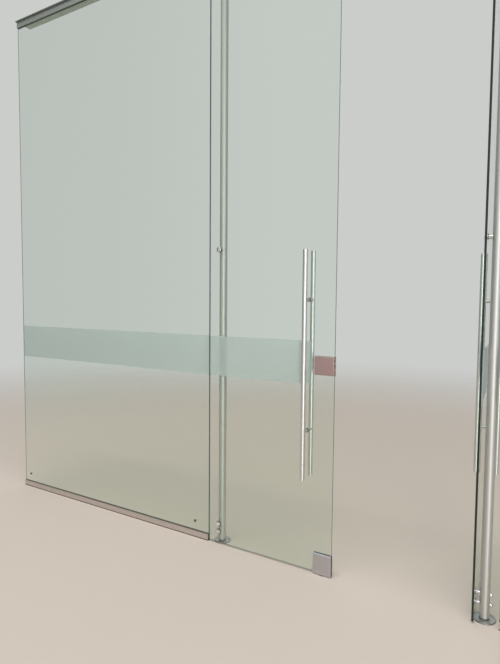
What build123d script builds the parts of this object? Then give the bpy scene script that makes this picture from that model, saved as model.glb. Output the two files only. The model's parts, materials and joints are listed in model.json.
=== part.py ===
from build123d import *
import math
import os

# Frameless glass entrance: two fixed sidelights and a pair of glass leaves hung on pivot tubes.
# Millimetres. X runs along the entrance, left to right as seen from outside.
# Y points into the building and Z points up from the finished floor.
# The origin is the left pivot axis at floor level.
# The left leaf is closed and the right leaf stands open into the building.

# Glass
glass_thickness = 10.0
leaf_width = 782.0
leaf_floor_gap = 8.0
leaf_head_gap = 8.0
meeting_gap = 10.0
sidelight_width = 1750.0
edge_gap = 5.0
glass_arris = 0.8

# Opening
head_height = 3456.0
right_leaf_open = 86.0

# Pivot tube and its ends
hinge_edge_inset = 62.0
tube_diameter = 44.5
tube_wall = 2.0
plug_length = 38.0
plug_fit = 0.05
pin_diameter = 16.0
pin_length = 44.0
pin_chamfer = 1.0
pin_fit = 0.05
pin_seat_fit = 0.02
washer_diameter = 32.0
washer_thickness = 2.0
washer_gap = 0.05

# Floor and head flanges
flange_diameter = 100.0
flange_edge_height = 5.0
flange_edge_radius = 2.5
flange_dish_height = 3.5
flange_dish_radius = 44.0
flange_relief = 0.5
flange_relief_width = 16.0
head_flange_turn = 45.0
flange_hub_diameter = 34.0
flange_hub_height = 9.0
hub_foot = 1.0
floor_screw_circle = 78.0
head_screw_circle = 66.0
flange_screw_count = 4
screw_shank = 5.0
screw_neck = 4.4
screw_head = 9.0
screw_drive = 3.0
screw_drive_depth = 1.2
screw_fit = 0.1
floor_screw_length = 24.0
head_screw_length = 9.0
channel_screw_pitch = 500.0
channel_screw_sink = 0.3

# Fixings that hold the glass to the tube
fixing_low = 71.0
fixing_pitch = 47.0
fixing_shank = 10.0
fixing_head = 30.0
fixing_pad = 32.0
fixing_head_thickness = 5.0
fixing_edge_radius = 1.2
fixing_socket = 6.0
fixing_socket_depth = 3.0
fixing_hole_fit = 0.1
glass_hole = 16.0
pad_thickness = 1.0
spacer_diameter = 20.0
spacer_length = 16.75
saddle_fit = 0.05
nut_diameter = 16.0
nut_skirt = 4.0
nut_thread_depth = 7.0

# Pull handles
pull_bar_diameter = 25.0
pull_bar_wall = 1.5
pull_length = 1200.0
pull_bottom = 502.0
pull_edge_distance = 151.0
pull_standoff = 51.0
pull_post_inset = 256.0
pull_post_diameter = 18.0
pull_pad_diameter = 22.0
pull_stud = 8.0
pull_hole = 14.0
pull_stud_depth = 20.0
cap_rim = 2.0
cap_plug = 8.0
cap_fit = 0.05
cap_edge_radius = 0.8

# Meeting lock, its keeper and the floor lock
patch_depth = 32.0
patch_wall = 2.0
patch_edge_radius = 3.0
patch_clearance = 0.2
lock_length = 108.0
lock_height = 97.0
lock_centre = 1107.0
floor_lock_length = 110.0
floor_lock_height = 101.0
floor_lock_gap = 3.0
case_margin = 10.0
notch_clearance = 4.0
notch_radius = 10.0
forend_thickness = 2.0
forend_fit = 0.1
forend_window_width = 10.0
forend_window_offset = 30.0
bolt_window = 20.0
screw_window = 15.0
case_screw_length = 14.0
edge_pocket_length = 16.0
edge_pocket_width = 8.0
edge_pocket_depth = 6.0
floor_lock_pockets = (58.0, 93.0)
bolt_thickness = 8.0
bolt_height = 18.0
floor_bolt_width = 14.0
bolt_length = 76.0
bolt_setback = 3.0
bolt_throw = 22.0
bolt_chamfer = 1.0
bolt_fit = 0.2
spindle_distance = 55.0
spindle_offset = 17.0
spindle_diameter = 10.0
spindle_fit = 0.1
crank_thickness = 3.0
crank_width = 9.0
crank_pin = 5.0
crank_gap = 0.5
crank_slot_play = 1.2
turn_rose_diameter = 28.0
turn_rose_thickness = 3.0
turn_rose_radius = 1.0
turn_grip_length = 30.0
turn_grip_width = 8.0
turn_grip_height = 16.0
turn_grip_radius = 1.5
turn_gap = 0.3
turn_angle = 90.0
keeper_pocket_depth = 28.0
keeper_pocket_play = 1.5
socket_flange = 38.0
socket_flange_height = 1.5
socket_bore = 20.0
socket_wall = 2.5
socket_depth = 26.0

# Channels that hold the sidelights
channel_width = 26.0
channel_height = 38.0
channel_wall = 3.0
channel_lip = 1.0
block_length = 80.0
block_height = 6.0
block_inset = 250.0
gasket_depth = 14.0
gasket_proud = 3.0
gasket_fit = 0.1
head_plate_thickness = 6.0
head_plate_front = 20.0
head_plate_back = 60.0

# Frosted bands and the plugged holes low in the sidelights
band_bottom = 1002.0
band_height = 230.0
band_thickness = 0.3
leaf_band_end = 135.0
plug_hole_diameter = 12.0
plug_hole_height = 95.0
plug_outer_inset = 61.0
plug_inner_inset = 105.0
plug_rim = 2.0
plug_rim_height = 1.2

# How far cutting shapes run past the faces they cut
overrun = 1.0

# Places that follow from the sizes above
screw_neck_length = flange_dish_height
tube_radius = tube_diameter / 2
glass_in = -(tube_radius + spacer_length + pad_thickness)
glass_out = glass_in - glass_thickness
glass_mid = (glass_in + glass_out) / 2
leaf_reach = leaf_width - hinge_edge_inset
axis_span = 2 * leaf_reach + meeting_gap
leaf_top = head_height - leaf_head_gap
leaf_bottom = leaf_floor_gap
sidelight_edge = -(hinge_edge_inset + edge_gap)
sidelight_end = sidelight_edge - sidelight_width
sidelight_foot = channel_wall + block_height
sidelight_head = head_height - channel_wall - block_height
tube_foot = flange_hub_height + washer_thickness + washer_gap
tube_head = head_height - tube_foot
fixing_heights = [
    fixing_low,
    fixing_low + fixing_pitch,
    head_height / 2,
    head_height - fixing_low - fixing_pitch,
    head_height - fixing_low,
]
pull_x = leaf_reach - pull_edge_distance
pull_heights = [pull_bottom + pull_post_inset, pull_bottom + pull_length - pull_post_inset]
cover_depth = (patch_depth - glass_thickness) / 2 - pad_thickness
case_depth = patch_depth - 2 * (patch_wall + patch_clearance)
pad_rim = case_margin - notch_clearance
crank_radius = bolt_throw / (2 * math.sin(math.radians(turn_angle / 2)))


def box(x0, x1, y0, y1, z0, z1):
    """Box between two corners."""
    size = Box(x1 - x0, y1 - y0, z1 - z0)
    return Pos((x0 + x1) / 2, (y0 + y1) / 2, (z0 + z1) / 2) * size


def rod_y(diameter, x, z, y0, y1):
    """Round bar along Y between two depths."""
    bar = Rot(90, 0, 0) * Cylinder(diameter / 2, y1 - y0)
    return Pos(x, (y0 + y1) / 2, z) * bar


def rod_z(diameter, x, y, z0, z1):
    """Upright round bar between two heights."""
    return Pos(x, y, (z0 + z1) / 2) * Cylinder(diameter / 2, z1 - z0)


def turned_z(points):
    """Solid turned about Z from an outline of (radius, height) points."""
    outline = make_face(Polyline(*[(r, 0, z) for r, z in points], close=True))
    return revolve(outline, Axis.Z)


def countersunk_screw(length):
    """Countersunk screw along Z: head face at zero, hexagon socket, slim neck above the thread."""
    rim = screw_head / 2
    neck = screw_neck / 2
    shank = screw_shank / 2
    screw = turned_z([(0, 0), (rim, 0), (neck, neck - rim), (neck, -screw_neck_length),
                      (shank, -screw_neck_length), (shank, -length), (0, -length)])
    socket = extrude(RegularPolygon(screw_drive / 2, 6), -screw_drive_depth)
    return screw - socket


def countersink(length):
    """Hole that a countersunk screw sits in, drawn along Z from zero downwards."""
    rim = screw_head / 2
    hole = screw_shank / 2 + screw_fit
    return turned_z([(0, overrun), (rim, overrun), (rim, 0), (hole, hole - rim), (hole, -length),
                     (0, -length)])


def right_side(shape):
    """Mirror a fixed piece of the left half to the right half."""
    return mirror(shape, about=Plane.YZ.offset(axis_span / 2))


def right_leaf(shape):
    """Mirror a piece of the left leaf to the right one and swing it open."""
    return right_side(shape).rotate(Axis((axis_span, 0, 0), (0, 0, 1)), -right_leaf_open)


def head_side(shape):
    """Mirror a floor piece to the head."""
    return mirror(shape, about=Plane.XY.offset(head_height / 2))


def head_pivot(shape):
    """Mirror a piece of the floor flange to the head, turned about the pivot axis."""
    return Rot(0, 0, head_flange_turn) * head_side(shape)


# Glass panes

def arrissed_pane(x0, x1, z0, z1):
    """Pane of toughened glass with ground edges."""
    pane = box(x0, x1, glass_out, glass_in, z0, z1)
    return chamfer(pane.edges().filter_by(Axis.Y, reverse=True), glass_arris)


def edge_notch(length, height, centre):
    """Rounded cut-out in the free edge of a leaf."""
    x0 = leaf_reach - length
    x1 = leaf_reach + notch_radius
    slot = box(x0, x1, glass_out - overrun, glass_in + overrun, centre - height / 2, centre + height / 2)
    corners = slot.edges().filter_by(Axis.Y).group_by(Axis.X)[0]
    return fillet(corners, notch_radius)


def leaf_glass(with_floor_lock):
    """Leaf pane with its drilled holes and lock cut-outs."""
    pane = arrissed_pane(-hinge_edge_inset, leaf_reach, leaf_bottom, leaf_top)
    for z in fixing_heights:
        pane -= rod_y(glass_hole, 0, z, glass_out - overrun, glass_in + overrun)
    for z in pull_heights:
        pane -= rod_y(pull_hole, pull_x, z, glass_out - overrun, glass_in + overrun)
    length = lock_length - case_margin + notch_clearance
    height = lock_height - 2 * case_margin + 2 * notch_clearance
    pane -= edge_notch(length, height, lock_centre)
    if with_floor_lock:
        length = floor_lock_height - case_margin + notch_clearance
        top = floor_lock_gap + floor_lock_length - case_margin + notch_clearance
        height = 2 * (top - leaf_bottom)
        pane -= edge_notch(length, height, leaf_bottom)
    return pane


def sidelight_glass():
    """Fixed pane with two plugged holes low down."""
    pane = arrissed_pane(sidelight_end, sidelight_edge, sidelight_foot, sidelight_head)
    for x in plug_places():
        pane -= rod_y(plug_hole_diameter, x, plug_hole_height, glass_out - overrun, glass_in + overrun)
    return pane


def plug_places():
    """X of the two plugged holes of the left sidelight."""
    return [sidelight_end + plug_outer_inset, sidelight_edge - plug_inner_inset]


def hole_plugs():
    """Rubber plug in each small hole, with a rim on both faces."""
    plugs = []
    for x in plug_places():
        core = rod_y(plug_hole_diameter - 2 * gasket_fit, x, plug_hole_height, glass_out, glass_in)
        rim = plug_hole_diameter + 2 * plug_rim
        outer = rod_y(rim, x, plug_hole_height, glass_out - plug_rim_height, glass_out)
        inner = rod_y(rim, x, plug_hole_height, glass_in, glass_in + plug_rim_height)
        plugs.append(core + outer + inner)
    return plugs


def band(x0, x1):
    """Frosted film on the inner face of the glass."""
    return box(x0, x1, glass_in, glass_in + band_thickness, band_bottom, band_bottom + band_height)


# Channels, gaskets and head plate

def floor_channel():
    """U channel that the sidelight stands in, with rolled-in lips and screw holes."""
    y0 = glass_mid - channel_width / 2
    y1 = glass_mid + channel_width / 2
    channel = box(sidelight_end, sidelight_edge, y0, y1, 0, channel_height)
    channel -= box(sidelight_end - overrun, sidelight_edge + overrun, y0 + channel_wall, y1 - channel_wall,
                   channel_wall, channel_height - channel_lip)
    channel -= box(sidelight_end - overrun, sidelight_edge + overrun, y0 + channel_wall + channel_lip,
                   y1 - channel_wall - channel_lip, channel_wall, channel_height + overrun)
    for place in channel_screw_places():
        channel -= place * countersink(channel_wall + overrun)
    return channel


def channel_screw_places():
    """Where the screws sit in the bottom of the channel, evenly spaced about its middle."""
    count = int(sidelight_width // channel_screw_pitch)
    middle = sidelight_end + sidelight_width / 2
    first = middle - channel_screw_pitch * (count - 1) / 2
    height = channel_wall - channel_screw_sink
    return [Pos(first + channel_screw_pitch * i, glass_mid, height) for i in range(count)]


def channel_screws(length):
    """Screws of one channel, drawn at the floor."""
    return [place * countersunk_screw(length) for place in channel_screw_places()]


def channel_gasket():
    """Outer wedge gasket between the glass and the floor channel."""
    wall = glass_mid - channel_width / 2 + channel_wall
    lip = wall + channel_lip
    top = channel_height
    foot = top - gasket_depth
    face = glass_out - gasket_fit
    points = [(face, foot), (wall + gasket_fit, foot), (wall + gasket_fit, top - channel_lip - gasket_fit),
              (lip + gasket_fit, top - channel_lip - gasket_fit), (lip + gasket_fit, top),
              (wall, top + gasket_fit), (wall, top + gasket_proud / 2), (face, top + gasket_proud)]
    outline = make_face(Polyline(*[(sidelight_end, y, z) for y, z in points], close=True))
    return extrude(outline, amount=sidelight_width, dir=(1, 0, 0))


def gasket_pair():
    """Wedge gaskets on both faces of one sidelight at the floor."""
    outer = channel_gasket()
    return [outer, mirror(outer, about=Plane.XZ.offset(-glass_mid))]


def floor_blocks():
    """Setting blocks that carry the sidelight inside its floor channel."""
    half = channel_width / 2 - channel_wall - gasket_fit
    blocks = []
    for x in (sidelight_end + block_inset, sidelight_edge - block_inset):
        blocks.append(box(x - block_length / 2, x + block_length / 2, glass_mid - half,
                          glass_mid + half, channel_wall, sidelight_foot))
    return blocks


def head_plate():
    """Flat bar along the head that the channels and the upper flanges are screwed to."""
    front = glass_out - head_plate_front
    plate = box(sidelight_end, axis_span - sidelight_end, front, head_plate_back,
                head_height, head_height + head_plate_thickness)
    hole = rod_z(screw_shank + 2 * pin_seat_fit, 0, 0, -head_screw_length - overrun, overrun)
    drilled = [head_pivot(place * hole) for place in flange_screw_places(head_screw_circle)]
    drilled += [head_side(place * hole) for place in channel_screw_places()]
    for cut in drilled:
        plate = plate - cut - right_side(cut)
    return plate


# Pivot tube, flanges and pins

def pivot_tube():
    """Tube with cross holes for the glass fixings."""
    tube = rod_z(tube_diameter, 0, 0, tube_foot, tube_head)
    tube -= rod_z(tube_diameter - 2 * tube_wall, 0, 0, tube_foot - overrun, tube_head + overrun)
    for z in fixing_heights:
        tube -= rod_y(fixing_shank + 2 * fixing_hole_fit, 0, z, -tube_diameter, tube_diameter)
    return tube


def tube_plug():
    """Plug in the foot of the tube that turns on the pin."""
    bore = pin_diameter / 2 + pin_fit
    rim = tube_radius - tube_wall - plug_fit
    top = tube_foot + plug_length
    return turned_z([(bore, tube_foot), (rim, tube_foot), (rim, top), (bore, top)])


def pivot_flange(screw_circle):
    """Dished round flange with a hub for the pin, relieved underneath along its screw holes."""
    bore = pin_diameter / 2 + pin_seat_fit
    hub = flange_hub_diameter / 2
    rim = flange_diameter / 2
    crown = rim - 2 * flange_edge_radius
    inner = (screw_circle - flange_relief_width) / 2
    outer = (screw_circle + flange_relief_width) / 2
    points = [(bore, 0), (inner, 0), (inner, flange_relief), (outer, flange_relief), (outer, 0),
              (rim, 0), (rim, flange_edge_height - flange_edge_radius),
              (rim - flange_edge_radius / 3, flange_edge_height - flange_edge_radius / 3),
              (rim - flange_edge_radius, flange_edge_height), (crown, flange_edge_height),
              (flange_dish_radius, flange_dish_height), (hub + hub_foot, flange_dish_height),
              (hub, flange_dish_height + hub_foot), (hub, flange_hub_height), (bore, flange_hub_height)]
    flange = turned_z(points)
    for place in flange_screw_places(screw_circle):
        flange -= place * countersink(flange_edge_height + overrun)
    return flange


def flange_screw_places(screw_circle):
    """Where the screw heads sit on the dish of a flange."""
    radius = screw_circle / 2
    step = 360 / flange_screw_count
    seats = []
    for i in range(flange_screw_count):
        seats.append(Rot(0, 0, step * (i + 0.5)) * Pos(radius, 0, flange_dish_height))
    return seats


def flange_screws(screw_circle, length):
    """Screws of one flange, drawn at the floor."""
    return [place * countersunk_screw(length) for place in flange_screw_places(screw_circle)]


def pivot_pin():
    """Pin pressed into the flange hub, with a chamfered end."""
    pin = rod_z(pin_diameter, 0, 0, 0, pin_length)
    return chamfer(pin.edges().group_by(Axis.Z)[-1], pin_chamfer)


def thrust_washer():
    """Bronze washer between the hub and the foot of the tube."""
    bore = pin_diameter / 2 + pin_fit
    top = flange_hub_height + washer_thickness
    rim = washer_diameter / 2
    return turned_z([(bore, flange_hub_height), (rim, flange_hub_height), (rim, top), (bore, top)])


# Glass fixings

def fixing_bolt(z):
    """Flat-headed bolt through the glass, the spacer and the tube."""
    face = glass_out - pad_thickness
    head = rod_y(fixing_head, 0, z, face - fixing_head_thickness, face)
    head = fillet(head.edges().group_by(Axis.Y)[0], fixing_edge_radius)
    shank = rod_y(fixing_shank, 0, z, face, tube_radius + nut_thread_depth)
    socket = Plane((0, face - fixing_head_thickness, z), x_dir=(1, 0, 0), z_dir=(0, 1, 0))
    return head + shank - extrude(socket * RegularPolygon(fixing_socket / 2, 6), fixing_socket_depth)


def ring_pad(diameter, hole, x, z, y0):
    """Thin rubber ring against the glass."""
    y1 = y0 + pad_thickness
    return rod_y(diameter, x, z, y0, y1) - rod_y(hole, x, z, y0 - overrun, y1 + overrun)


def fixing_pads():
    """Rubber rings under the bolt heads and the spacers."""
    hole = fixing_shank + 2 * fixing_hole_fit
    pads = []
    for z in fixing_heights:
        pads.append(ring_pad(fixing_pad, hole, 0, z, glass_out - pad_thickness))
        pads.append(ring_pad(fixing_pad, hole, 0, z, glass_in))
    return pads


def fixing_spacer(z):
    """Round spacer with one end shaped to the tube."""
    spacer = rod_y(spacer_diameter, 0, z, glass_in + pad_thickness, 0)
    spacer -= rod_y(fixing_shank + 2 * fixing_hole_fit, 0, z, glass_in - overrun, overrun)
    return spacer - rod_z(tube_diameter + 2 * saddle_fit, 0, 0, z - tube_diameter, z + tube_diameter)


def dome_nut(z):
    """Dome nut on the far side of the tube, with its foot shaped to the tube."""
    radius = nut_diameter / 2
    skirt = rod_y(nut_diameter, 0, z, 0, tube_radius + nut_skirt)
    dome = Pos(0, tube_radius + nut_skirt, z) * Sphere(radius)
    nut = skirt + (dome & box(-radius, radius, tube_radius, tube_radius + nut_skirt + radius,
                              z - radius, z + radius))
    nut -= rod_y(fixing_shank + 2 * pin_seat_fit, 0, z, -overrun, tube_radius + nut_thread_depth)
    return nut - rod_z(tube_diameter + 2 * saddle_fit, 0, 0, z - tube_diameter, z + tube_diameter)


# Pull handles

def pull_bar(y):
    """Upright tube of the pull handle."""
    top = pull_bottom + pull_length - cap_rim
    low = pull_bottom + cap_rim
    bar = rod_z(pull_bar_diameter, pull_x, y, low, top)
    return bar - rod_z(pull_bar_diameter - 2 * pull_bar_wall, pull_x, y, low - overrun, top + overrun)


def pull_cap(y, upwards):
    """Flat cap pressed into one end of a pull bar."""
    inner = pull_bar_diameter - 2 * pull_bar_wall - 2 * cap_fit
    rim = Cylinder(pull_bar_diameter / 2, cap_rim, align=(Align.CENTER, Align.CENTER, Align.MAX))
    rim = fillet(rim.edges().group_by(Axis.Z)[-1], cap_edge_radius)
    plug = Pos(0, 0, -cap_rim) * Cylinder(inner / 2, cap_plug,
                                          align=(Align.CENTER, Align.CENTER, Align.MAX))
    cap = rim + plug
    if upwards:
        return Pos(pull_x, y, pull_bottom + pull_length) * cap
    return Pos(pull_x, y, pull_bottom) * Rot(180, 0, 0) * cap


def pull_post(z, side):
    """Post from the glass to a pull bar; the outer one carries the stud."""
    bar_y = glass_mid + side * pull_standoff
    face = glass_mid + side * (glass_thickness / 2 + pad_thickness)
    y0, y1 = sorted((face, bar_y))
    post = rod_y(pull_post_diameter, pull_x, z, y0, y1)
    post -= rod_z(pull_bar_diameter + 2 * saddle_fit, pull_x, bar_y, z - pull_bar_diameter,
                  z + pull_bar_diameter)
    reach = glass_mid + glass_thickness / 2 + pad_thickness + pull_stud_depth
    if side < 0:
        return post + rod_y(pull_stud, pull_x, z, face, reach)
    return post - rod_y(pull_stud + 2 * pin_seat_fit, pull_x, z, face - overrun, reach + overrun)


def pull_pads():
    """Rubber rings under the posts of the pull handle."""
    pads = []
    for z in pull_heights:
        for y in (glass_out - pad_thickness, glass_in):
            pads.append(ring_pad(pull_pad_diameter, pull_stud + 2 * fixing_hole_fit, pull_x, z, y))
    return pads


# Patch locks. Each is drawn with its bolt along +X, the bolt end of the patch at x = 0,
# the middle of the patch at z = 0 and the middle of the glass at y = 0.

def patch_cover(length, height, side):
    """Shallow cover on one face of the glass, hollow towards the glass."""
    near = glass_thickness / 2 + pad_thickness
    far = near + cover_depth
    cover = box(-length, 0, near, far, -height / 2, height / 2)
    cover = fillet(cover.faces().sort_by(Axis.Y)[-1].edges(), patch_edge_radius)
    cover -= box(patch_wall - length, -patch_wall, near - overrun, far - patch_wall,
                 patch_wall - height / 2, height / 2 - patch_wall)
    if side < 0:
        cover = mirror(cover, about=Plane.XZ)
    return cover


def inner_cover(length, height):
    """Inside cover with the hole for the spindle."""
    cover = patch_cover(length, height, 1)
    return cover - rod_y(spindle_diameter + 2 * spindle_fit, -spindle_distance, spindle_offset,
                         0, patch_depth)


def patch_pads(length, height):
    """Thin rubber frames between the covers and the glass, open at the bolt end."""
    near = glass_thickness / 2
    pads = []
    for y in (near, -near - pad_thickness):
        frame = box(-length, 0, y, y + pad_thickness, -height / 2, height / 2)
        frame -= box(pad_rim - length, overrun, y - overrun, y + pad_thickness + overrun,
                     pad_rim - height / 2, height / 2 - pad_rim)
        pads.append(frame)
    return pads


def lock_body(length, height, end):
    """Solid lock body that fills the glass cut-out between the covers."""
    half = case_depth / 2
    edge = height / 2 - case_margin
    return box(case_margin - length, end, -half, half, -edge, edge)


def forend(height):
    """Narrow end plate between the covers, with three rounded windows."""
    half = glass_thickness / 2 + pad_thickness - forend_fit
    edge = height / 2 - case_margin + notch_clearance - forend_fit
    plate = box(-forend_thickness, 0, -half, half, -edge, edge)
    for z, tall in ((0, bolt_window), (forend_window_offset, screw_window),
                    (-forend_window_offset, screw_window)):
        width = forend_window_width / 2
        window = box(-forend_thickness - overrun, overrun, -width, width, z - tall / 2, z + tall / 2)
        plate -= fillet(window.edges().filter_by(Axis.X), width - forend_fit)
    return plate


def case_screw_places():
    """Where the two screws sit in the end of the lock case, seen through the windows."""
    return [Pos(-forend_thickness, 0, sign * forend_window_offset) * Rot(0, 90, 0) for sign in (-1, 1)]


def crank_room():
    """Space beside the bolt that the crank needs over its whole swing."""
    reach = crank_radius + crank_width / 2 + crank_gap
    near = bolt_thickness / 2 + bolt_fit
    far = near + crank_thickness + 2 * crank_gap
    side = reach * math.sin(math.radians(turn_angle / 2)) + crank_width / 2
    top = spindle_offset + crank_width / 2 + crank_gap
    return box(-spindle_distance - side, -spindle_distance + side, -near, far,
               spindle_offset - reach, top)


def lock_works(body, length, across):
    """Cut the bolt passage, the crank room and the spindle hole into a lock body."""
    half_y = bolt_thickness / 2 + bolt_fit
    half_z = across / 2 + bolt_fit
    body -= box(case_margin + patch_wall - length, overrun, -half_y, half_y, -half_z, half_z)
    body -= crank_room()
    return body - rod_y(spindle_diameter + 2 * spindle_fit, -spindle_distance, spindle_offset,
                        0, patch_depth)


def lock_case():
    """Case of the meeting lock, behind its forend."""
    case = lock_works(lock_body(lock_length, lock_height, -forend_thickness), lock_length, bolt_height)
    for place in case_screw_places():
        case -= place * countersink(case_screw_length + overrun)
    return case


def floor_lock_case():
    """Case of the floor lock, which also fills the edge between its covers."""
    case = lock_body(floor_lock_length, floor_lock_height, -patch_wall)
    half = glass_thickness / 2 - forend_fit
    edge = floor_lock_height / 2
    case += box(case_margin - floor_lock_length, 0, -half, half, case_margin - edge, edge)
    case = lock_works(case, floor_lock_length, floor_bolt_width)
    for x in floor_lock_pockets:
        case -= box(-x - edge_pocket_length / 2, -x + edge_pocket_length / 2,
                    -edge_pocket_width / 2, edge_pocket_width / 2, edge - edge_pocket_depth,
                    edge + overrun)
    return case


def flat_bolt(across):
    """Flat bolt, drawn retracted, with the upright slot that the crank pin drives."""
    tip = -bolt_setback
    bolt = box(tip - bolt_length, tip, -bolt_thickness / 2, bolt_thickness / 2, -across / 2, across / 2)
    bolt = fillet(bolt.edges().filter_by(Axis.X), bolt_thickness / 2 - forend_fit)
    bolt = chamfer(bolt.faces().sort_by(Axis.X)[-1].edges(), bolt_chamfer)
    rest = -spindle_distance - crank_radius * math.sin(math.radians(turn_angle / 2))
    half = crank_pin / 2 + crank_slot_play
    low = spindle_offset - crank_radius - crank_pin / 2 - crank_gap
    return bolt - box(rest - half, rest + half, -bolt_thickness, bolt_thickness, low, across)


def crank():
    """Crank plate with its pin, hanging down from the spindle."""
    near = bolt_thickness / 2 + bolt_fit + crank_gap
    far = near + crank_thickness
    plate = box(-crank_width / 2, crank_width / 2, near, far, -crank_radius, 0)
    plate += rod_y(crank_width, 0, 0, near, far) + rod_y(crank_width, 0, -crank_radius, near, far)
    return plate + rod_y(crank_pin, 0, -crank_radius, -bolt_thickness / 2, near)


def thumb_turn():
    """Inside thumb turn with its spindle and crank, drawn with the bolt retracted."""
    near = bolt_thickness / 2 + bolt_fit + crank_gap
    cover = patch_depth / 2 + turn_gap
    foot = cover + turn_rose_thickness
    rose = rod_y(turn_rose_diameter, 0, 0, cover, foot)
    rose = fillet(rose.edges().group_by(Axis.Y)[-1], turn_rose_radius)
    grip = box(-turn_grip_width / 2, turn_grip_width / 2, foot, foot + turn_grip_height,
               -turn_grip_length / 2, turn_grip_length / 2)
    grip = fillet(grip.edges().filter_by(Axis.Y), turn_grip_width / 2 - forend_fit)
    grip = fillet(grip.edges().group_by(Axis.Y)[-1], turn_grip_radius)
    turn = rod_y(spindle_diameter, 0, 0, near, cover) + rose + grip
    turn += Rot(0, turn_angle / 2, 0) * crank()
    return Pos(-spindle_distance, 0, spindle_offset) * turn


def keeper_body():
    """Body of the keeper with its face plate and the pocket that takes the bolt."""
    body = lock_body(lock_length, lock_height, -forend_thickness)
    half_y = bolt_thickness / 2 + keeper_pocket_play
    half_z = bolt_height / 2 + keeper_pocket_play
    body -= box(-keeper_pocket_depth, overrun, -half_y, half_y, -half_z, half_z)
    return body + forend(lock_height)


def to_meeting_edge(shape):
    """Place a patch at the meeting edge of the left leaf, bolt towards the other leaf."""
    return Pos(leaf_reach, glass_mid, lock_centre) * shape


def to_floor_corner(shape):
    """Place a patch in the lower free corner of the left leaf, bolt towards the floor."""
    middle = leaf_reach - floor_lock_height / 2
    return Pos(middle, glass_mid, floor_lock_gap) * Rot(0, 90, 0) * shape


def floor_socket():
    """Socket let into the floor under the floor bolt."""
    bore = socket_bore / 2
    wall = bore + socket_wall
    points = [(bore, socket_flange_height), (socket_flange / 2, socket_flange_height),
              (socket_flange / 2, 0), (wall, 0), (wall, -socket_depth), (0, -socket_depth),
              (0, socket_wall - socket_depth), (bore, socket_wall - socket_depth)]
    return Pos(leaf_reach - floor_lock_height / 2, glass_mid, 0) * turned_z(points)


def write(name, solids):
    """Write one node as one STEP file."""
    parts = list(solids) if isinstance(solids, (list, tuple)) else [solids]
    shapes = [solid for part in parts for solid in part.solids()]
    body = shapes[0] if len(shapes) == 1 else Compound(shapes)
    body.label = name
    export_step(body, os.path.join("parts", name + ".step"))


def write_leaf(side, put):
    """Write the pieces that both leaves have."""
    write(side + "_leaf_glass", put(leaf_glass(side == "left")))
    write(side + "_pivot_tube", put(pivot_tube()))
    write(side + "_tube_plugs", [put(tube_plug()), put(head_side(tube_plug()))])
    write(side + "_fixing_bolts", [put(fixing_bolt(z)) for z in fixing_heights])
    write(side + "_fixing_spacers", [put(fixing_spacer(z)) for z in fixing_heights])
    write(side + "_dome_nuts", [put(dome_nut(z)) for z in fixing_heights])
    write(side + "_leaf_band", put(band(-hinge_edge_inset, leaf_reach - leaf_band_end)))
    write(side + "_outer_pull_bar", put(pull_bar(glass_mid - pull_standoff)))
    write(side + "_inner_pull_bar", put(pull_bar(glass_mid + pull_standoff)))
    caps = [pull_cap(glass_mid + sign * pull_standoff, up) for sign in (-1, 1) for up in (False, True)]
    write(side + "_pull_bar_caps", [put(cap) for cap in caps])
    posts = [pull_post(z, sign) for z in pull_heights for sign in (-1, 1)]
    write(side + "_pull_posts", [put(post) for post in posts])
    pads = fixing_pads() + pull_pads()
    pads += [to_meeting_edge(pad) for pad in patch_pads(lock_length, lock_height)]
    if side == "left":
        pads += [to_floor_corner(pad) for pad in patch_pads(floor_lock_length, floor_lock_height)]
    write(side + "_glass_pads", [put(pad) for pad in pads])


def write_frame():
    """Write the fixed pieces."""
    left_glass = sidelight_glass()
    write("left_sidelight_glass", left_glass)
    write("right_sidelight_glass", right_side(left_glass))
    write("left_floor_channel", floor_channel())
    write("right_floor_channel", right_side(floor_channel()))
    write("left_head_channel", head_side(floor_channel()))
    write("right_head_channel", right_side(head_side(floor_channel())))
    write("head_plate", head_plate())
    gaskets = gasket_pair()
    gaskets += [head_side(strip) for strip in gaskets]
    write("glazing_gaskets", gaskets + [right_side(strip) for strip in gaskets])
    blocks = floor_blocks()
    write("setting_blocks", blocks + [right_side(block) for block in blocks])
    plugs = hole_plugs()
    write("sidelight_hole_plugs", plugs + [right_side(plug) for plug in plugs])
    write("left_sidelight_band", band(sidelight_end, sidelight_edge))
    write("right_sidelight_band", right_side(band(sidelight_end, sidelight_edge)))
    floor_flange = pivot_flange(floor_screw_circle)
    head_flange = head_pivot(pivot_flange(head_screw_circle))
    write("left_floor_flange", floor_flange)
    write("right_floor_flange", right_side(floor_flange))
    write("left_head_flange", head_flange)
    write("right_head_flange", right_side(head_flange))
    pins = [pivot_pin(), head_side(pivot_pin())]
    write("pivot_pins", pins + [right_side(pin) for pin in pins])
    washers = [thrust_washer(), head_side(thrust_washer())]
    write("thrust_washers", washers + [right_side(washer) for washer in washers])
    screws = flange_screws(floor_screw_circle, floor_screw_length)
    screws += [head_pivot(screw) for screw in flange_screws(head_screw_circle, head_screw_length)]
    write("flange_screws", screws + [right_side(screw) for screw in screws])
    screws = channel_screws(floor_screw_length)
    screws += [head_side(screw) for screw in channel_screws(head_screw_length)]
    write("channel_screws", screws + [right_side(screw) for screw in screws])
    write("floor_bolt_socket", floor_socket())


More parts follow.
